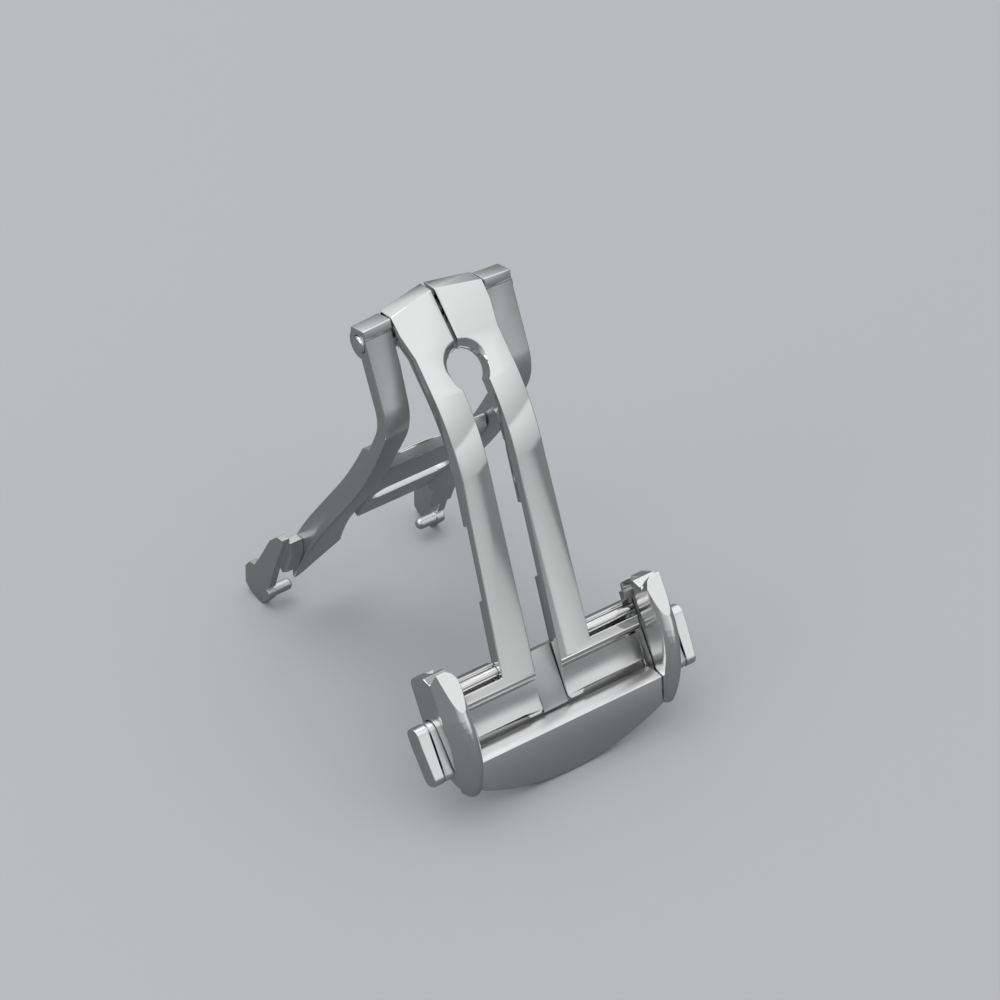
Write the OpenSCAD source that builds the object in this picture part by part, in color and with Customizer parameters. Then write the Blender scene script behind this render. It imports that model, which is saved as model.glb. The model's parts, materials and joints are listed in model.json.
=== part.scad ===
// Deployant clasp for an 18 mm watch strap, standing open on its front bar and its rear hooks.
// X runs along the hinge, the buckle lies towards -Y and +Z is up. Sizes are in millimetres.
// Each leaf is drawn flat first: u runs from the hinge to the free end and v points away from the wrist.

/* [Strap and buckle] */
// Length of the front bar between the side rails, for an 18 mm strap
bar_len = 18.6; // [18.2:0.1:18.7]
// Gap between each end of the front bar and the inner wall of its side rail
bar_gap = 0.3; // [0.2:0.05:0.4]
// Thickness of one side rail
rail_w = 2.2; // [2.1:0.05:2.5]
// How far the side rails reach towards the hinge from the bar's straight edge
rail_lead = 8.6; // [8.3:0.1:8.8]
// Length of the straight part of a side rail's ridge
rail_straight = 4.2; // [4:0.1:4.6]
// Radius of the downward bend of a side rail's ridge
rail_bend_r = 9; // [8.5:0.25:10]
// Height of the ridge crest above the leaf's chord
rail_top = 2.75; // [2.5:0.05:3]
// Depth of the notch in the hinge-side end of a side rail
notch_depth = 0.8; // [0.6:0.05:1.1]

/* [Front leaf] */
// Overall width of the two fork arms at the buckle
fork_w = 9.04; // [8.4:0.05:9.6]
// Overall width of the two fork arms at their narrow waist
fork_waist_w = 8.2; // [7.8:0.05:8.6]
// Thickness of a fork arm
fork_t = 1.3; // [1.1:0.05:1.4]
// Width of the adjusting slot between the fork arms
slot_w = 2.6; // [2:0.1:2.8]
// Width of the slit between the fork arms at the hinge
slit_w = 0.3; // [0.2:0.05:0.5]
// Diameter of the keyhole
keyhole_d = 3.6; // [3.2:0.1:4]
// Distance from the hinge to the keyhole's centre
keyhole_u = 5.0; // [4.6:0.1:5.6]
// Width of the flat strip at the foot of each fork arm
strip_w = 1.1; // [0.8:0.05:1.3]
// Length of the polished apron below each strip
apron_len = 3.2; // [2.8:0.1:3.25]

/* [Front bar] */
// Distance from the hinge to the bar's straight edge
bar_u = 35.6; // [35.5:0.05:35.8]
// Depth of the bar's face at its middle, measured along the leaf
bar_depth = 4.5; // [4.1:0.1:4.9]
// Radius of the bar's curved edge
bar_edge_r = 20.5; // [19:0.5:24]
// Downward slope of the bar's face
bar_slope = 27; // [24:0.5:30]
// Thickness of the bar
bar_t = 1.0; // [0.8:0.05:1.1]

/* [Rear leaf] */
// Width over the hinge knuckles of the rear leaf
knuckle_w = 14.7; // [14.4:0.1:15.4]
// Width of one rear arm near the hinge
rear_arm_w = 2.1; // [1.9:0.05:2.3]
// Thickness of a rear arm near the hinge
rear_t = 1.25; // [1.1:0.05:1.4]
// Thickness of a rear arm below its step
rear_deep_t = 1.9; // [1.75:0.05:2]
// How much shorter the left rear arm is than the front leaf up to its bar
left_short = 2.8; // [2.6:0.1:3.2]
// How much shorter the right rear arm is
right_short = 2.4; // [2:0.1:2.6]
// Gap between the two rear arms at their end edge
rear_end_gap = 4.2; // [3.6:0.1:5]
// Thickness of a rear hook plate
hook_t = 0.75; // [0.6:0.05:0.9]
// Diameter of the strap pegs on the rear hooks
peg_d = 1.0; // [0.9:0.05:1.1]
// Length of a strap peg with its rounded end
peg_len = 1.9; // [1.7:0.05:2.1]

/* [Hinge] */
// Diameter of the hinge pin
pin_d = 1.2; // [1:0.05:1.3]
// Radius of the knuckles round the pin
knuckle_r = 1.35; // [1.25:0.05:1.4]
// Height of the domed pin ends
dome_h = 0.4; // [0.3:0.05:0.5]

/* [Push buttons] */
// Length of a button along the side rail
button_len = 5.2; // [4.8:0.1:5.3]
// Height of a button
button_h = 1.7; // [1.5:0.05:1.75]
// Thickness of the outer pad of a button
pad_t = 1.1; // [0.95:0.05:1.3]
// Thickness of the inner plate of a button
button_plate_t = 0.95; // [0.85:0.05:1.1]
// Travel of a button
button_travel = 0.5; // [0.3:0.05:0.6]
// Diameter of the two stems of a button
stem_d = 0.9; // [0.7:0.05:0.95]

/* [Pose] */
// Lean of the front leaf's chord from upright
front_lean = 33.8; // [32:0.05:35]

/* [Hidden] */
$fn = 64;

running = 0.04;      // radial clearance of a pin or stem that turns or slides
seat = 0.02;         // overlap that joins shapes of one solid
side_play = 0.12;    // play between neighbouring knuckles
seam = 0.06;         // fine seam between pieces fixed together
steps = 16;          // points along each arc of a leaf's curve

// Length and turn of each stretch of the front leaf's outer face, from the hinge end on
fork_start = [-2.95, 0.93];
fork_heading = 13.5;
fork_path = [[8.7, 0], [7.6, -24.8], [bar_u - 16.1, 0]];
// The same for the crest of the rear arms, drawn as if folded against the front leaf
rear_start = [-0.95, 0.45];
rear_heading = 40.7;
left_end_u = bar_u - left_short;
rear_path = [[6.1, 0], [3.6, -46.7], [11, -13], [left_end_u - 26.8, 0], [9.2, 12]];

rail_start = bar_u - rail_lead;
foot_u = bar_u - 5.45;    // start of the strip at the foot of a fork arm
fork_end_u = foot_u + strip_w;
catch_u = foot_u - 0.6;
catch_v = -1.05;
catch_d = 0.9;
floor_v = -2.35;
floor_t = 0.45;
floor_u = foot_u - 0.75;
bar_half = bar_len / 2;
rail_in = bar_half + bar_gap;
rail_out = rail_in + rail_w;
rail_mid = rail_in + rail_w / 2;
knuckle_out = knuckle_w / 2;
rear_in = knuckle_out - rear_arm_w;
chevron = 0.165;      // slope of each fork arm's end
knuckle_slope = 0.09; // slope of each rear knuckle's top
scoop = 0.7;         // shift of the keyhole's scooped rim towards the hinge
fork_end = -2.6;     // the arms' end at the middle of the clasp
button_u = bar_u - 2.1;
button_v = -1.05;
stem_pitch = 2.6;
stem_r = stem_d / 2;
rail_toe = 4;        // turn of a rail's bent part towards the bar
button_groove = 0.15;
pad_edge = 0.25;
button_sunk = 0.4;   // depth of a button's plate inside the rail wall
button_recess = button_travel + button_sunk + 0.1;
plate_in = rail_out - button_sunk;
plate_out = plate_in + button_plate_t;
stem_out = plate_out + button_groove + pad_t * 0.45;
claw_out = 1.2;
claw_len = 0.75;
claw_u = rail_start + 0.95;
claw_v = -0.9;
stem_places = [button_u - stem_pitch / 2, button_u + stem_pitch / 2];
spring_r = stem_r + 0.28;
slide_t = 0.42;
slide_in = rail_in + button_travel;
slide_h = 1.2;
slide_end = button_u + stem_pitch / 2 + 0.55;
slide_v = -0.85;
bar_pin_u = bar_u + 1.3;
bar_pin_v = -0.7;
bar_pin_r = 0.35;
step_u = 9.2;
bridge_u = 11.8;
slot_u = 18.9;
slot_r = 1.2;
slot_half = 2.9;      // half the distance between the round ends of the cross slot
bridge_end_u = slot_u + 5.1;
bridge_end_x = 3.6;
// Narrowing edge of the cross plate, which the arms follow
bridge_edge = [[4.55, slot_u + 0.6], [3.9, slot_u + 3.4], [bridge_end_x, bridge_end_u]];
knuckle_in = fork_w / 2 + side_play;
rear_tip_v = -0.9;
right_end_x = 6.3;     // inner edge of the right rear arm's end
rear_end_slant = 3.4; // length of the slanted end under a rear arm
hook_out = 9.25;
hook_in = hook_out - hook_t;
rear_tip = last(path_points(rear_start, rear_heading, rear_path, 0));
hook_bottom_u = rear_tip[0] + 2.8963;
hook_bottom_v = rear_tip[1] - 1.827;
peg_u = hook_bottom_u - 0.65;
peg_v = hook_bottom_v + 0.75;
peg_dome = 0.45;
hook_bottom_r = 1.0;
head_r = pin_d / 2 + 0.15;
head_seat = 0.3;

bar_v = 0.55;                                    // height of the bar's straight edge
bar_reach = bar_depth / cos(bar_slope);
rail_shoulder = 1.6;                             // drop from the crest to the outer wall's edge
notch_v = rail_top - rail_shoulder;
crest_r = 0.85;                                  // rounding of the rail's crest
tip_facet = [3.6, 0.8];                          // length and drop of the facet at a rail's end
tip_corner = [0.9, 1.1];                         // width and length cut off a rail's inner corner
bend_u = rail_start + rail_straight;

// The bar's lowest point and the hinge's height over the table
bar_low = [bar_u + bar_reach * cos(bar_slope) - bar_t * sin(bar_slope),
           bar_v - bar_reach * sin(bar_slope) - bar_t * cos(bar_slope)];
hinge_z = bar_low[0] * cos(front_lean) - bar_low[1] * sin(front_lean);
// Pitch at which the rear hooks touch the table as well
hook_reach = norm([hook_bottom_u, hook_bottom_v]);
rear_pitch = 180 - asin((hinge_z - hook_bottom_r) / hook_reach) + atan2(hook_bottom_v, hook_bottom_u);
front_pitch = 90 - front_lean;
// Place of the hinge along Y, so that the origin is under the middle of the clasp
front_y = bend_u * sin(front_lean) + (rail_top - rail_bend_r) * cos(front_lean) + rail_bend_r;
rear_y = max([for (p = hook_points()) -p[0] * cos(rear_pitch) - p[1] * sin(rear_pitch)]);
hinge_y = (front_y - rear_y) / 2;

// Points along a chain of straight and bent stretches, shifted inwards by inset
function arc_step(p, h, len, turn, i, n, inset) =
    let (r = turn == 0 ? 0 : len * 180 / (PI * turn),
         s = i / n,
         a = h + turn * s,
         q = turn == 0 ? [p[0] + len * s * cos(h), p[1] + len * s * sin(h)]
                       : [p[0] + r * (sin(a) - sin(h)), p[1] - r * (cos(a) - cos(h))])
    [q[0] + inset * sin(a), q[1] - inset * cos(a)];
function step_end(p, h, seg) = arc_step(p, h, seg[0], seg[1], 1, 1, 0);
function path_points(p, h, path, inset, k = 0) =
    k >= len(path) ? [] :
    let (n = path[k][1] == 0 ? 1 : steps)
    concat([for (i = [k == 0 ? 0 : 1 : n]) arc_step(p, h, path[k][0], path[k][1], i, n, inset)],
           path_points(step_end(p, h, path[k]), h + path[k][1], path, inset, k + 1));
function last(list) = list[len(list) - 1];
function reversed(list) = [for (i = [len(list) - 1 : -1 : 0]) list[i]];

// Band of a leaf seen from the side, between two depths under its outer face
module band(start, heading, path, top, bottom) {
    polygon(concat(path_points(start, heading, path, top),
                   reversed(path_points(start, heading, path, bottom))));
}
module fork_band(top, bottom) { band(fork_start, fork_heading, fork_path, top, bottom); }
module rear_band(top, bottom) { band(rear_start, rear_heading, rear_path, top, bottom); }

// A side view drawn in u and v, given its width along X
module across(x0, x1) {
    rotate([90, 0, -90]) translate([0, 0, -x1]) linear_extrude(height = x1 - x0) children();
}
// A top view drawn in x and u, given its height in v
module upright(v0, v1) {
    translate([0, 0, v0]) mirror([0, 1, 0]) linear_extrude(height = v1 - v0) children();
}
// A round bar or hole along X at u, v
module rod(u, v, r, x0, x1) {
    translate([x0, -u, v]) rotate([0, 90, 0]) cylinder(r = r, h = x1 - x0);
}
module on_front_leaf() { translate([0, hinge_y, hinge_z]) rotate([front_pitch, 0, 0]) children(); }
module on_rear_leaf() {
    translate([0, hinge_y, hinge_z]) rotate([rear_pitch, 0, 0]) children();
}
module mirrored(side) { if (side < 0) mirror([1, 0, 0]) children(); else children(); }

// One fork arm on the +X side, with its foot
module fork_arm() {
    half = fork_w / 2;
    waist = fork_waist_w / 2;
    difference() {
        union() {
            intersection() {
                across(slit_w / 2, rail_in - seam) fork_band(0, fork_t);
                upright(-6, 6) fork_plan(half, waist);
            }
            intersection() {
                across(slit_w / 2, half - 0.05) difference() {
                    union() {
                        circle(r = knuckle_r);
                        translate([-3, -0.1]) square([3, 1.3]);
                    }
                    translate([0, -3]) square([4, 3]);
                }
                upright(-6, 6) polygon([[0, fork_end], [half, fork_end + chevron * half], [half, 3], [0, 3]]);
            }
            intersection() {
                across(slot_w / 2, bar_half) apron_band();
                upright(-6, 6) apron_plan();
            }
        }
        rod(0, 0, pin_d / 2 + running, -1, rail_in);
        translate([0, -keyhole_u, 0]) cylinder(d = keyhole_d, h = 12, center = true);
        translate([0, -keyhole_u - 20, 0]) cube([slot_w, 40, 12], center = true);
        across(slot_w / 2 - 1, half + 0.5) relief();
        end_bevel();
        translate([0, scoop - keyhole_u, fork_face_v(keyhole_u - scoop)]) rotate([-fork_heading, 0, 0])
            cylinder(d1 = keyhole_d - 0.7, d2 = keyhole_d + 1.5, h = 1.1, center = true);
    }
}
// Bevel between an arm's face and its shallow V-shaped end
module end_bevel() {
    for (side = [-1, 1]) mirrored(side) multmatrix([[1, 0, 0, 0], [-chevron, 1, 0, 0], [0, 0, 1, 0]])
        across(-0.5, fork_w) polygon([[-2.65, -0.2], [-1.15 - chevron * fork_w / 2, 1.45],
                                      [-1.6, 3], [-5, 3], [-5, -0.2]]);
}
function fork_face_v(u) = fork_start[1] + (u - fork_start[0]) * tan(fork_heading);
// Thinner stretch under the arm, where the rear leaf lies when folded
module relief() {
    intersection() {
        fork_band(0.8, fork_t + 1);
        translate([17, -4]) square([6.5, 10]);
    }
}
module fork_plan(half, waist) {
    polygon([[0, fork_end], [half, fork_end + chevron * half], [half, 0.4], [waist, 2.6], [waist, 13],
             [half - 0.02, foot_u], [rail_in + 1, foot_u], [rail_in + 1, fork_end_u], [0, fork_end_u]]);
}
// The apron falls from the strip into the gap before the front bar
module apron_band() {
    u0 = fork_end_u - 0.3;
    u1 = fork_end_u + apron_len;
    polygon(concat([for (i = [0 : steps]) let (s = i / steps)
                        [u0 + (u1 - u0) * s, -0.42 - 0.75 * s - 0.35 * sin(180 * s)]],
                   [[u1, -1.85], [u0, -1.6]]));
}
module apron_plan() {
    u0 = fork_end_u - 0.3;
    u1 = fork_end_u + apron_len;
    polygon([[slot_w / 2, u0], [rail_in + 1, u0], [rail_in + 1, u1 - 0.35],
             [slot_w / 2 + 1.7, u1 - 0.35], [slot_w / 2 + 1.4, u1], [slot_w / 2 + 0.25, u1],
             [slot_w / 2, u1 - 0.3]]);
}
module left_fork_arm() { color("silver") on_front_leaf() mirrored(-1) fork_arm(); }
module right_fork_arm() { color("silver") on_front_leaf() mirrored(1) fork_arm(); }

// Frosted plate under both feet, with a raised tongue between them
module buckle_floor() {
    color("darkgray") on_front_leaf() union() {
        upright(floor_v, floor_v + floor_t)
            translate([-bar_half, floor_u]) square([bar_len, bar_u - 0.3 - floor_u]);
        upright(floor_v, -1.35)
            translate([-slot_w / 2 + seam, floor_u]) square([slot_w - 2 * seam, bar_u - 1 - floor_u]);
    }
}

// Side rail: an upright outer wall, a slope up to a rounded crest, and an upright inner wall
module rail_section() {
    run = [rail_w - crest_r, crest_r - rail_shoulder];
    lean = atan2(run[1], run[0]) + acos(crest_r / norm(run));
    polygon(concat([[rail_in, -6], [rail_out, -6], [rail_out, rail_top - rail_shoulder]],
        [for (i = [0 : steps]) let (a = lean + (180 - lean) * i / steps)
            [rail_in + crest_r * (1 + cos(a)), rail_top - crest_r * (1 - sin(a))]]));
}
module side_rail() {
    difference() {
        intersection() {
            union() {
                translate([0, -rail_start, 0]) rotate([90, 0, 0])
                    linear_extrude(height = rail_straight + 0.1) rail_section();
                translate([rail_mid, -bend_u, 0]) rotate([0, 0, -rail_toe])
                    translate([-rail_mid, 0, rail_top - rail_bend_r]) rotate([0, 90, 0]) rotate([0, 0, 180])
                        rotate_extrude(angle = 52) translate([rail_bend_r - rail_top, 0])
                            mirror([1, -1, 0]) rail_section();
            }
            across(bar_half + seam, rail_out) rail_outline();
        }
        upright(notch_v + 0.1, rail_top + 1) polygon([[rail_in - 1, rail_start - 1],
            [rail_in + tip_corner[0], rail_start - 1], [rail_in + tip_corner[0], rail_start],
            [rail_in + tip_corner[0] * 0.4, rail_start + tip_corner[1] * 0.35],
            [rail_in - 0.01, rail_start + tip_corner[1]], [rail_in - 1, rail_start + tip_corner[1]]]);
        for (u = stem_places) rod(u, button_v, stem_r + running, rail_in - 1, rail_out + 1);
        across(rail_out - button_recess, rail_out + 1) button_outline(side_play / 2);
        across(rail_in - 1, slide_in + slide_t + side_play) slide_pocket();
        rod(bar_pin_u, bar_pin_v, bar_pin_r, rail_in - 1, rail_in + 1.2);
    }
}
module rail_outline() {
    polygon([[rail_start + tip_facet[0], rail_top], [rail_start + 0.1, rail_top - tip_facet[1]],
             [rail_start, notch_v + 0.75], [rail_start + notch_depth, notch_v],
             [rail_start + 0.2, notch_v - 0.8], [rail_start + 0.2, -1.45],
             [rail_start + 0.6, -1.9], [foot_u + 0.65, -2.05],
             [bar_u - 2.6, -2.3], [bar_u - 0.3, -2.1], [bar_u + 0.9, -1.15], [bar_u + 1.7, -1.0],
             [bar_u + 2.7, -1.7], [bar_u + 3.1, -1.3], [bar_u + 3.1, rail_top]]);
}
module slide_outline() {
    translate([claw_u, slide_v - slide_h / 2]) square([slide_end - claw_u, slide_h]);
}
module slide_pocket() {
    translate([rail_start - 1, slide_v - slide_h / 2 - side_play])
        square([slide_end + 1 - rail_start + side_play, slide_h + 2 * side_play]);
}
module left_side_rail() { color("gainsboro") on_front_leaf() mirrored(-1) side_rail(); }
module right_side_rail() { color("gainsboro") on_front_leaf() mirrored(1) side_rail(); }

// Front bar: a brushed face with a straight hinge-side edge and a curved outer edge
module front_bar() {
    color("lightgray") on_front_leaf() difference() {
        intersection() {
            union() {
                on_bar_face() translate([0, 0, -bar_t]) linear_extrude(height = bar_t) bar_plan();
                across(-bar_half, bar_half) polygon([
                    [bar_u - 0.85, -1.3], [bar_u - 0.6, -0.3], [bar_u, bar_v],
                    [bar_u + 0.9, bar_v - 1.1], [bar_u + 0.6, -1.75], [bar_u - 0.4, -1.75]]);
            }
            upright(-8, 8) translate([-bar_half, bar_u - 2]) square([bar_len, bar_depth + 4]);
        }
        for (side = [-1, 1]) mirrored(side)
            rod(bar_pin_u, bar_pin_v, bar_pin_r, bar_half - 1.5, bar_half + 1);
    }
}
module on_bar_face() { translate([0, -bar_u, bar_v]) rotate([bar_slope, 0, 0]) children(); }
module bar_plan() {
    mirror([0, 1, 0]) intersection() {
        translate([0, bar_reach - bar_edge_r]) circle(r = bar_edge_r, $fn = 256);
        translate([-bar_half, 0]) square([bar_len, bar_reach]);
    }
}
// Two hidden pins that hold the bar between the side rails
module front_bar_pins() {
    color("dimgray") on_front_leaf() for (side = [-1, 1])
        mirrored(side) rod(bar_pin_u, bar_pin_v, bar_pin_r - seat, bar_half - 1.45, rail_in + 1.15);
}

// Polished bar just above each strip, set into the side rail
module catch_bar() {
    rod(catch_u, catch_v, catch_d / 2, fork_w / 2, rail_in - seam);
    across(fork_w / 2, rail_in - seam) polygon([[catch_u - 0.75, catch_v - 0.85],
        [catch_u - 0.75, catch_v + 0.1], [catch_u - 0.55, catch_v + 0.1], [catch_u - 0.55, catch_v - 0.25],
        [catch_u + 0.3, catch_v - 0.2], [catch_u + 0.4, catch_v - 0.85]]);
}
module left_catch_bar() { color("silver") on_front_leaf() mirrored(-1) catch_bar(); }
module right_catch_bar() { color("silver") on_front_leaf() mirrored(1) catch_bar(); }

// Push buttons: an outer pad, an inner plate and a slide with two stems inside the side rail
module button_outline(grow) {
    r = button_h * 0.42;
    translate([button_u, button_v]) hull() for (i = [-1, 1], j = [-1, 1])
        translate([i * (button_len / 2 - r), j * (button_h / 2 - r)]) circle(r = r + grow, $fn = 32);
}
module button_pad() {
    x0 = plate_out + button_groove;
    difference() {
        union() {
            intersection() {
                across(x0, x0 + pad_t) button_outline(0);
                upright(-4, 2) polygon([[x0, button_u - 4], [x0 + pad_t + 0.1, button_u - 4],
                                        [x0 + pad_t + 0.1, button_u - button_len / 2],
                                        [x0 + pad_t * 0.8, button_u + button_len / 2 + 0.1],
                                        [x0, button_u + button_len / 2 + 0.1]]);
            }
            across(plate_out, x0 + seat) button_outline(-pad_edge);
        }
        for (u = stem_places) rod(u, button_v, stem_r, rail_out, stem_out);
    }
}
module button_plate() {
    difference() {
        across(plate_in, plate_out) button_outline(-0.05);
        for (u = stem_places) rod(u, button_v, spring_r + running, rail_out - 1, plate_out + 1);
    }
}
module latch_slide() {
    union() {
        across(slide_in, slide_in + slide_t) slide_outline();
        across(slide_in - claw_out, slide_in + seat) polygon([
            [claw_u, claw_v - 0.35], [claw_u, claw_v + 0.55],
            [claw_u + claw_len, claw_v + 0.3], [claw_u + claw_len, claw_v - 0.35]]);
        for (u = stem_places) rod(u, button_v, stem_r - seat, slide_in, stem_out);
    }
}
module button_springs() {
    for (u = stem_places) difference() {
        rod(u, button_v, spring_r, plate_in, plate_out);
        rod(u, button_v, stem_r + running, rail_out - 1, plate_out + 1);
    }
}
module left_button_pad() { color("silver") on_front_leaf() mirrored(-1) button_pad(); }
module right_button_pad() { color("silver") on_front_leaf() mirrored(1) button_pad(); }
module left_button_plate() { color("gray") on_front_leaf() mirrored(-1) button_plate(); }
module right_button_plate() { color("gray") on_front_leaf() mirrored(1) button_plate(); }
module left_latch_slide() { color("lightgray") on_front_leaf() mirrored(-1) latch_slide(); }
module right_latch_slide() { color("lightgray") on_front_leaf() mirrored(1) latch_slide(); }
module left_button_springs() { color("dimgray") on_front_leaf() mirrored(-1) button_springs(); }
module right_button_springs() { color("dimgray") on_front_leaf() mirrored(1) button_springs(); }

// Hinge pin through all four knuckles, with a domed head riveted on each end
module hinge_pin() {
    color("silver") on_front_leaf() rod(0, 0, pin_d / 2, -knuckle_out + head_seat, knuckle_out - head_seat);
}
module hinge_pin_heads() {
    color("silver") on_front_leaf() for (side = [-1, 1]) mirrored(side)
        translate([knuckle_out - head_seat, 0, 0]) rotate([0, 90, 0]) rotate_extrude()
            domed(head_r, head_seat, dome_h);
}
// Half section of a short round bar with a domed end
module domed(r, len, dome) {
    n = steps / 2;
    polygon(concat([[0, 0], [r, 0], [r, len]],
                   [for (i = [1 : n]) let (a = 90 * i / n) [r * cos(a), len + dome * sin(a)]]));
}

// One rear arm on the +X side: knuckle, narrow upper stretch, step and wide lower stretch
module rear_arm(end_u, end_x) {
    difference() {
        union() {
            intersection() {
                across(rear_end_gap / 2, knuckle_out) rear_side(end_u);
                upright(-8, 9) rear_plan(end_x);
            }
            difference() {
                rod(0, 0, knuckle_r, knuckle_in, knuckle_out);
                across(knuckle_in - 1, knuckle_out + 1) before_crest();
            }
            knuckle_top();
        }
        if (end_x < bridge_end_x) foot_facet();
        rod(0, 0, pin_d / 2 + running, rear_in - 2, knuckle_out + 1);
        rod(0, 0, head_r + running, knuckle_out - head_seat - seat, knuckle_out + 1);
    }
}
// The broad foot's face falls away inwards from a ridge that crosses the arm to its outer tip
module foot_facet() {
    fall = tan(12);
    ridge_start = [rear_in + 0.35, 17.9];
    spread = (knuckle_out - ridge_start[0]) / (rear_tip[0] - ridge_start[1]);
    multmatrix([[1, 0, 0, 0], [0, 1, 0, 0],
                [fall, fall * spread, 1, -fall * (ridge_start[0] - spread * ridge_start[1])]])
        across(1, knuckle_out + 1) rear_band(-2, 0);
}
module rear_side(end_u) {
    difference() {
        union() {
            rear_band(0, rear_t);
            intersection() {
                rear_band(0, rear_deep_t);
                translate([step_u, -5]) square([40, 20]);
            }
        }
        // The step's bevel and the slanted end
        polygon([[step_u - 0.1, 3.95], [step_u - 0.1, 2], [step_u + 0.9, 2.9], [step_u + 0.1, 3.95]]);
        polygon([[end_u - rear_end_slant, -2.6], [end_u, rear_tip_v], [end_u + 0.3, 2],
                 [40, 2], [40, -9], [end_u - rear_end_slant, -9]]);
    }
}
// Flat, slightly sloping top of a knuckle, level from front to back when the clasp stands open
module knuckle_top() {
    intersection() {
        translate([0, knuckle_slope * knuckle_out, 0])
            multmatrix([[1, 0, 0, 0], [-knuckle_slope, 1, 0, 0], [0, 0, 1, 0]])
                across(knuckle_in, knuckle_out) polygon([
                    [-0.75, -1.43], [-1.62, 0.08], [-0.95, 0.5], [0.3, 0.4], [0.5, -1.2]]);
        across(knuckle_in, knuckle_out) square([8, 8], center = true);
    }
}
// Space before the crest line near the hinge
module before_crest() {
    translate(rear_start) rotate(rear_heading) translate([-3, 0]) square([8, 4]);
}
// The left arm widens inwards to a broad foot, and the right one tapers to its hook
module rear_plan(end_x) {
    polygon(concat([[knuckle_in, -4], [knuckle_out, -4], [knuckle_out, left_end_u + 1],
                    [end_x, left_end_u + 1], [end_x, left_end_u - 1.4],
                    [(bridge_end_x + end_x) / 2 + 0.3, bridge_end_u + 2.5]],
                   reversed(bridge_edge), [[rear_in - 0.15, 14], [rear_in, 10], [knuckle_in, 1.4]]));
}
module left_rear_arm() { color("lightgray") on_rear_leaf() mirrored(-1) rear_arm(left_end_u, rear_end_gap / 2); }
module right_rear_arm() { color("lightgray") on_rear_leaf() mirrored(1) rear_arm(left_end_u - right_short, right_end_x); }

// Bridge plate between the rear arms, with its cross slot
module rear_bridge() {
    color("lightgray") on_rear_leaf() difference() {
        intersection() {
            across(-rear_in, rear_in) difference() {
                rear_band(0.12, 1.1);
                polygon([[10.7, 3.1], [12.9, 4.6], [12.9, 9], [10.7, 9]]);
            }
            upright(-6, 9) bridge_plan();
        }
        upright(-6, 9) hull() for (side = [-1, 1]) 
            translate([side * slot_half, slot_u]) circle(r = slot_r);
    }
}
module bridge_plan() {
    top = rear_in - 0.2;
    edge = concat([[top, bridge_u], [top, 14]], [for (p = bridge_edge) [p[0] - seam, p[1]]]);
    polygon(concat(edge, reversed([for (p = edge) [-p[0], p[1]]])));
}

// Hook plate beside the end of a rear arm, with a neck on the arm and the peg that carries the strap
function at_hook(list) = [for (p = list) [hook_bottom_u + p[0], hook_bottom_v + p[1]]];
function hook_points() = concat(
    at_hook([[-8.65, 1.26], [-8.35, 0.55], [-6.95, -0.25], [-4.25, -0.85], [-2.35, -1.35],
             [-1.95, -2.05], [-0.95, -2.45], [-0.05, -2.2], [0.75, -1.95], [1.05, -1.25]]),
    [for (i = [0 : steps]) let (a = -20 + 80 * i / steps)
        [hook_bottom_u + hook_bottom_r * cos(a), hook_bottom_v + hook_bottom_r * sin(a)]],
    [for (i = [1 : steps / 2]) let (a = 60 + 240 * i / steps)
        [peg_u + (peg_d / 2 + 0.1) * cos(a), peg_v + (peg_d / 2 + 0.1) * sin(a)]],
    at_hook([[-1.65, 1.0], [-3.95, 1.05], [-6.65, 1.28], [-8.35, 1.45]]));
module rear_hook() {
    union() {
        across(hook_in, hook_out) polygon(hook_points());
        translate([hook_in + seat, -peg_u, peg_v]) rotate([0, -90, 0]) rotate_extrude()
            domed(peg_d / 2, peg_len - peg_dome + seat, peg_dome);
        across(knuckle_out + 0.01, hook_in + 0.1) polygon(at_hook([[-8.35, 1.65], [-8.05, 0.85],
            [-6.65, 0.15], [-4.65, 0.65], [-4.15, 1.5], [-4.75, 2.0], [-6.95, 2.15]]));
    }
}
module left_rear_hook() { color("lightgray") on_rear_leaf() mirrored(-1) rear_hook(); }
module right_rear_hook() { color("lightgray") on_rear_leaf() mirrored(1) rear_hook(); }

left_fork_arm();
right_fork_arm();
buckle_floor();
left_side_rail();
right_side_rail();
front_bar();
front_bar_pins();
left_catch_bar();
right_catch_bar();
left_button_pad();
right_button_pad();
left_button_plate();
right_button_plate();
left_latch_slide();
right_latch_slide();
left_button_springs();
right_button_springs();
hinge_pin();
hinge_pin_heads();
left_rear_arm();
right_rear_arm();
rear_bridge();
left_rear_hook();
right_rear_hook();
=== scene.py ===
import json
import math

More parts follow.
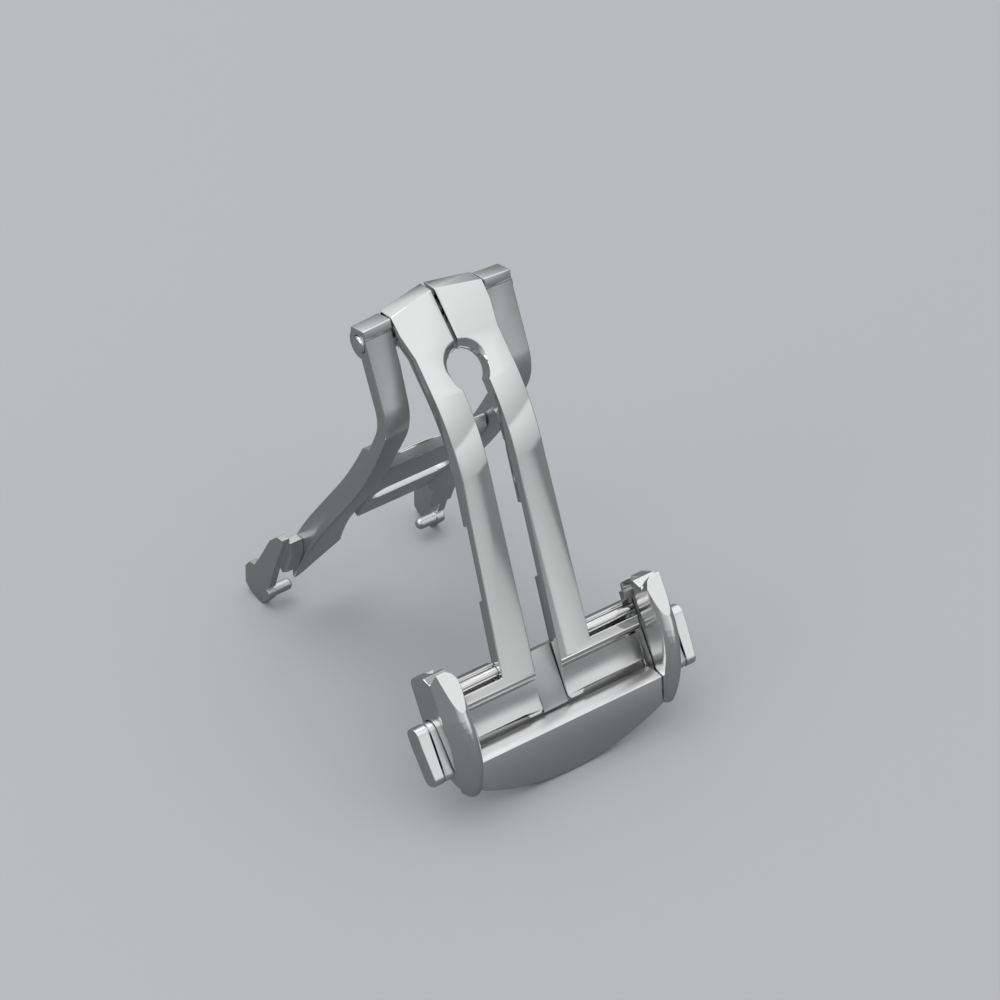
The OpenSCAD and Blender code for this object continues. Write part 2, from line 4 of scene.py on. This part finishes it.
import bpy
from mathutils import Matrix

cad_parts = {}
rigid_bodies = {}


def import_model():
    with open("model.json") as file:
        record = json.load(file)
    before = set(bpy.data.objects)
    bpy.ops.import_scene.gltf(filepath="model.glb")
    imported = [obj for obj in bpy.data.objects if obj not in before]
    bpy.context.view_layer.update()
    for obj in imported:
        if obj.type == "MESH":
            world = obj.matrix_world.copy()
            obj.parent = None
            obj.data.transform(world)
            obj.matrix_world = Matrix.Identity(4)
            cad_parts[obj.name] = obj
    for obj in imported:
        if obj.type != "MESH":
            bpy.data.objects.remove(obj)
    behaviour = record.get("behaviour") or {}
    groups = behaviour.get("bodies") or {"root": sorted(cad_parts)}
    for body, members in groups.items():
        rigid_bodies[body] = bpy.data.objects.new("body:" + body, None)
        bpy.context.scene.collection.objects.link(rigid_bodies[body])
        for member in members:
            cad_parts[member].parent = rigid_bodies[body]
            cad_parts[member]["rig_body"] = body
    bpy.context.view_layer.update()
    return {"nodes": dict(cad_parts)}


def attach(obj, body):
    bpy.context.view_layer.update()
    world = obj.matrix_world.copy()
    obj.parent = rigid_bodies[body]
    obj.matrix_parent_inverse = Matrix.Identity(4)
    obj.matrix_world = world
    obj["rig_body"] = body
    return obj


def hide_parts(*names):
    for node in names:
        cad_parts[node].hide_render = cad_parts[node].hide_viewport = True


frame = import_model()


# The table: one wide sheet of matt, pale grey board that runs on behind the
# clasp. It is darker where steel mirrors it, as the slate under the real clasp.
bpy.ops.object.select_all(action="DESELECT")
bpy.ops.mesh.primitive_plane_add(size=3.0, location=(0, 0, 0))
table = bpy.context.object
table.name = "table"
board = bpy.data.materials.new("pale_board")
board.use_nodes = True
board_shader = board.node_tree.nodes["Principled BSDF"]
board_shader.inputs["Roughness"].default_value = 0.6
board_ray = board.node_tree.nodes.new("ShaderNodeLightPath")
board_tone = board.node_tree.nodes.new("ShaderNodeMix")
board_tone.data_type = "RGBA"
pale_grey = (0.47, 0.48, 0.50, 1)
slate_grey = (0.15, 0.152, 0.157, 1)
board_tone.inputs["A"].default_value = pale_grey
board_tone.inputs["B"].default_value = slate_grey
board.node_tree.links.new(board_ray.outputs["Is Glossy Ray"], board_tone.inputs["Factor"])
board.node_tree.links.new(board_tone.outputs["Result"], board_shader.inputs["Base Color"])
table.data.materials.append(board)


# The light: soft boxes behind and over the clasp, at its left and low in front
# of it, in a grey room that grows brighter upward, so that steel shows bands.
def soft_box(name, place, aim, width, height, power):
    lamp = bpy.data.lights.new(name, "AREA")
    lamp.shape = "RECTANGLE"
    lamp.size = width
    lamp.size_y = height
    lamp.energy = power
    box = bpy.data.objects.new(name, lamp)
    bpy.context.scene.collection.objects.link(box)
    box.location = place
    away = [place[i] - aim[i] for i in range(3)]
    turn = math.atan2(away[0], -away[1])
    tilt = math.atan2(math.hypot(away[0], away[1]), away[2])
    box.rotation_euler = (tilt, 0, turn)
    return box


middle = (0, 0, 0.018)
soft_box("soft_box_above", (-0.10, 0.25, 0.55), middle, 0.45, 0.30, 0.50)
soft_box("soft_box_left", (-0.55, -0.05, 0.35), middle, 0.25, 0.25, 0.30)
soft_box("soft_box_low", (0.30, -0.52, 0.12), middle, 0.36, 0.20, 0.085)

room = bpy.data.worlds.new("grey_room")
bpy.context.scene.world = room
room.use_nodes = True
room_nodes = room.node_tree.nodes
room_links = room.node_tree.links
room_nodes["Background"].inputs["Strength"].default_value = 1.0
room_place = room_nodes.new("ShaderNodeTexCoord")
room_height = room_nodes.new("ShaderNodeSeparateXYZ")
room_ramp = room_nodes.new("ShaderNodeValToRGB")
room_ramp.color_ramp.elements[0].position = 0.0
room_ramp.color_ramp.elements[0].color = (0.14, 0.145, 0.155, 1)
room_ramp.color_ramp.elements[1].position = 0.70
room_ramp.color_ramp.elements[1].color = (0.98, 0.985, 1.0, 1)
room_links.new(room_place.outputs["Generated"], room_height.inputs["Vector"])
room_links.new(room_height.outputs["Z"], room_ramp.inputs["Fac"])
room_links.new(room_ramp.outputs["Color"], room_nodes["Background"].inputs["Color"])

# The camera looks down at the clasp from the front and the left, through a
# long lens, as in the photograph.
lens = bpy.data.cameras.new("camera")
lens.lens = 194.92
lens.sensor_width = 36
camera = bpy.data.objects.new("camera", lens)
bpy.context.scene.collection.objects.link(camera)
camera.location = (-0.20697, -0.27410, 0.30244)
camera.rotation_euler = (math.radians(50.2953), math.radians(-1.3734), math.radians(-36.5156))
bpy.context.scene.camera = camera
bpy.context.scene.view_settings.view_transform = "Standard"


# The fork arms are pressed from 1.3 mm stainless sheet, ground and mirror
# polished by hand, with softened edges and a satin apron below each foot.
flat_angle = math.radians(0.05)
edge_angle = math.radians(28)
smooth_angle = math.radians(35)


def copied_solid(node, merge):
    """A copy of the node's solid as one connected mesh, to be worked on in its place."""
    source = frame["nodes"][node]
    bpy.ops.object.select_all(action="DESELECT")
    piece = bpy.data.objects.new(node + "_worked", source.data.copy())
    bpy.context.scene.collection.objects.link(piece)
    piece.data.materials.clear()
    bpy.context.view_layer.objects.active = piece
    piece.select_set(True)
    bpy.ops.object.mode_set(mode="EDIT")
    bpy.ops.mesh.select_all(action="SELECT")
    bpy.ops.mesh.remove_doubles(threshold=merge)
    bpy.ops.object.mode_set(mode="OBJECT")
    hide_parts(node)
    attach(piece, source["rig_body"])
    return piece


def worked_edges(node, edge, face, rim, segments=2):
    """The node's solid with its edges ground round: one metal on its faces, one on its rims."""
    piece = copied_solid(node, 0.00002)
    for metal in dict.fromkeys((face, rim)):
        piece.data.materials.append(metal)
    bpy.ops.object.mode_set(mode="EDIT")
    bpy.ops.mesh.dissolve_limited(angle_limit=flat_angle)
    bpy.ops.object.mode_set(mode="OBJECT")
    rounding = piece.modifiers.new("rounding", "BEVEL")
    rounding.width = edge
    rounding.segments = segments
    rounding.limit_method = "ANGLE"
    rounding.angle_limit = edge_angle
    rounding.use_clamp_overlap = False
    rounding.material = len(piece.data.materials) - 1
    bpy.ops.object.modifier_apply(modifier="rounding")
    bpy.ops.object.shade_smooth_by_angle(angle=smooth_angle)
    return piece


def buffed(node, grid, passes, keep, metal):
    """The node's solid with all its edges softened by buffing."""
    piece = copied_solid(node, 0.000002)
    piece.data.materials.append(metal)
    even = piece.modifiers.new("even", "REMESH")
    even.mode = "VOXEL"
    even.voxel_size = grid
    even.adaptivity = 0.0
    soft = piece.modifiers.new("soft", "SMOOTH")
    soft.factor = 0.5
    soft.iterations = passes
    lighter = piece.modifiers.new("lighter", "DECIMATE")
    lighter.ratio = keep
    for name in ("even", "soft", "lighter"):
        bpy.ops.object.modifier_apply(modifier=name)
    bpy.ops.object.shade_smooth()
    return piece


def steel_grain_group():
    """Surface work: grain, pits and a slow unevenness, as colour, roughness and height."""
    group = bpy.data.node_groups.new("steel_grain", "ShaderNodeTree")
    face = group.interface
    for name in ("Along", "Across", "Upward", "Pit Scale", "Roughness", "Spread"):
        face.new_socket(name=name, in_out="INPUT", socket_type="NodeSocketFloat")
    for name in ("Dark", "Light"):
        face.new_socket(name=name, in_out="INPUT", socket_type="NodeSocketColor")
    face.new_socket(name="Color", in_out="OUTPUT", socket_type="NodeSocketColor")
    for name in ("Roughness", "Height"):
        face.new_socket(name=name, in_out="OUTPUT", socket_type="NodeSocketFloat")
    nodes = group.nodes
    links = group.links
    given = nodes.new("NodeGroupInput")
    result = nodes.new("NodeGroupOutput")
    place = nodes.new("ShaderNodeTexCoord")
    stretch = nodes.new("ShaderNodeCombineXYZ")
    scaled = nodes.new("ShaderNodeVectorMath")
    scaled.operation = "MULTIPLY"
    grain = nodes.new("ShaderNodeTexNoise")
    grain.inputs["Scale"].default_value = 1.0
    grain.inputs["Detail"].default_value = 4.0
    grain.inputs["Roughness"].default_value = 0.65
    pits = nodes.new("ShaderNodeTexNoise")
    pits.inputs["Detail"].default_value = 2.0
    slow = nodes.new("ShaderNodeTexNoise")
    slow.inputs["Scale"].default_value = 260.0
    slow.inputs["Detail"].default_value = 1.0
    links.new(given.outputs["Along"], stretch.inputs["X"])
    links.new(given.outputs["Across"], stretch.inputs["Y"])
    links.new(given.outputs["Upward"], stretch.inputs["Z"])
    links.new(place.outputs["Object"], scaled.inputs[0])
    links.new(stretch.outputs["Vector"], scaled.inputs[1])
    links.new(scaled.outputs["Vector"], grain.inputs["Vector"])
    links.new(place.outputs["Object"], pits.inputs["Vector"])
    links.new(given.outputs["Pit Scale"], pits.inputs["Scale"])
    links.new(place.outputs["Object"], slow.inputs["Vector"])
    half = nodes.new("ShaderNodeMath")
    half.operation = "MULTIPLY_ADD"
    half.inputs[1].default_value = 0.5
    links.new(pits.outputs["Fac"], half.inputs[0])
    links.new(grain.outputs["Fac"], half.inputs[2])
    links.new(half.outputs["Value"], result.inputs["Height"])
    centred = nodes.new("ShaderNodeMath")
    centred.operation = "SUBTRACT"
    centred.inputs[1].default_value = 0.5
    both = nodes.new("ShaderNodeMath")
    both.operation = "ADD"
    links.new(grain.outputs["Fac"], centred.inputs[0])
    links.new(centred.outputs["Value"], both.inputs[0])
    slow_centred = nodes.new("ShaderNodeMath")
    slow_centred.operation = "SUBTRACT"
    slow_centred.inputs[1].default_value = 0.5
    links.new(slow.outputs["Fac"], slow_centred.inputs[0])
    links.new(slow_centred.outputs["Value"], both.inputs[1])
    rough = nodes.new("ShaderNodeMath")
    rough.operation = "MULTIPLY_ADD"
    rough.use_clamp = True
    links.new(both.outputs["Value"], rough.inputs[0])
    links.new(given.outputs["Spread"], rough.inputs[1])
    links.new(given.outputs["Roughness"], rough.inputs[2])
    links.new(rough.outputs["Value"], result.inputs["Roughness"])
    tone = nodes.new("ShaderNodeMix")
    tone.data_type = "RGBA"
    links.new(grain.outputs["Fac"], tone.inputs["Factor"])
    links.new(given.outputs["Dark"], tone.inputs["A"])
    links.new(given.outputs["Light"], tone.inputs["B"])
    links.new(tone.outputs["Result"], result.inputs["Color"])
    return group


steel_grain = steel_grain_group()


def steel(name, dark, light, roughness, spread, grain, pit_scale, relief):
    """Stainless steel with its own surface work."""
    metal = bpy.data.materials.new(name)
    metal.use_nodes = True
    nodes = metal.node_tree.nodes
    links = metal.node_tree.links
    shader = nodes["Principled BSDF"]
    shader.inputs["Metallic"].default_value = 1.0
    work = nodes.new("ShaderNodeGroup")
    work.node_tree = steel_grain
    work.inputs["Along"].default_value = grain[0]
    work.inputs["Across"].default_value = grain[1]
    work.inputs["Upward"].default_value = grain[2]
    work.inputs["Pit Scale"].default_value = pit_scale
    work.inputs["Roughness"].default_value = roughness
    work.inputs["Spread"].default_value = spread
    work.inputs["Dark"].default_value = (*dark, 1)
    work.inputs["Light"].default_value = (*light, 1)
    dents = nodes.new("ShaderNodeBump")
    dents.inputs["Strength"].default_value = 1.0
    dents.inputs["Distance"].default_value = relief
    links.new(work.outputs["Color"], shader.inputs["Base Color"])
    links.new(work.outputs["Roughness"], shader.inputs["Roughness"])
    links.new(work.outputs["Height"], dents.inputs["Height"])
    links.new(dents.outputs["Normal"], shader.inputs["Normal"])
    return metal


polished_steel = steel("polished_steel", (0.76, 0.76, 0.75), (0.80, 0.80, 0.79), 0.09, 0.03,
                       (900, 900, 900), 4000, 0.00000005)
satin_steel = steel("satin_steel", (0.84, 0.84, 0.83), (0.90, 0.90, 0.89), 0.30, 0.10,
                    (1800, 6000, 6000), 12000, 0.0000006)
hinge_y = 0.003731
hinge_z = 0.03441
leaf_lean = math.radians(56.2)
apron_start = 0.0315  # distance from the hinge along the leaf
for node in ("left_fork_arm", "right_fork_arm"):
    arm = worked_edges(node, 0.00009, polished_steel, polished_steel, segments=3)
    arm.data.materials.append(satin_steel)
    for face in arm.data.polygons:
        out = face.center.y - hinge_y
        down = hinge_z - face.center.z
        if down * math.sin(leaf_lean) - out * math.cos(leaf_lean) > apron_start:
            face.material_index = 1


# The plate under the fork's feet is a small milled steel plate with a fine
# blasted face. It is pressed in between the side rails.
frosted_steel = steel("frosted_steel", (0.46, 0.46, 0.46), (0.60, 0.60, 0.60), 0.36, 0.22,
                      (9000, 9000, 9000), 22000, 0.000006)
floor_plate = worked_edges("buckle_floor", 0.00006, frosted_steel, frosted_steel)


# Each side rail is forged stainless steel, polished to a soft mirror over its
# sloping face and ridge. A pin fixes it to the front bar, and a polished catch
# bar is set into it just above the foot.
rail_steel = steel("rail_steel", (0.80, 0.80, 0.79), (0.86, 0.86, 0.85), 0.19, 0.05,
                   (2500, 1200, 1200), 9000, 0.0000003)
for node in ("left_side_rail", "right_side_rail"):
    rail = buffed(node, 0.00004, 3, 0.3, rail_steel)
for node in ("left_catch_bar", "right_catch_bar"):
    catch = worked_edges(node, 0.00005, polished_steel, polished_steel)


# The front bar is milled steel with a finely blasted face and polished edges.
# Two hidden pins hold it between the side rails.
bar_steel = steel("bar_steel", (0.78, 0.78, 0.78), (0.88, 0.88, 0.88), 0.36, 0.10,
                  (3000, 14000, 14000), 26000, 0.0000015)
front_bar = worked_edges("front_bar", 0.00008, bar_steel, polished_steel, segments=3)
turned_steel = steel("turned_steel", (0.40, 0.40, 0.40), (0.58, 0.58, 0.58), 0.28, 0.18,
                     (16000, 2500, 2500), 20000, 0.000002)
bar_pins = worked_edges("front_bar_pins", 0.00003, turned_steel, turned_steel)


# Each button is a polished pad and a brushed plate on two stems. The stems
# belong to a latch slide inside the rail, and small springs push it back out.
for side in ("left", "right"):
    pad = buffed(side + "_button_pad", 0.00004, 5, 0.4, rail_steel)
    plate = worked_edges(side + "_button_plate", 0.00004, bar_steel, bar_steel)
    slide = worked_edges(side + "_latch_slide", 0.00004, frosted_steel, frosted_steel)
    springs = worked_edges(side + "_button_springs", 0.00002, turned_steel, turned_steel)


# The hinge pin is turned steel. It is riveted over at both ends, and the
# polished heads sit in the outer knuckles.
hinge_pin = worked_edges("hinge_pin", 0.00003, turned_steel, turned_steel)
pin_heads = worked_edges("hinge_pin_heads", 0.00004, polished_steel, polished_steel)


# The rear arms, the cross plate and the hooks are finely blasted steel with
# polished edges, and they turn as one leaf on the hinge pin.
rear_steel = steel("rear_steel", (0.66, 0.66, 0.66), (0.76, 0.76, 0.76), 0.34, 0.08,
                   (7000, 7000, 7000), 20000, 0.0000008)
for node in ("left_rear_arm", "right_rear_arm"):
    rear_arm = worked_edges(node, 0.00009, rear_steel, polished_steel, segments=3)
cross_plate = worked_edges("rear_bridge", 0.00009, rear_steel, polished_steel, segments=3)
for node in ("left_rear_hook", "right_rear_hook"):
    hook = buffed(node, 0.00004, 5, 0.4, rear_steel)
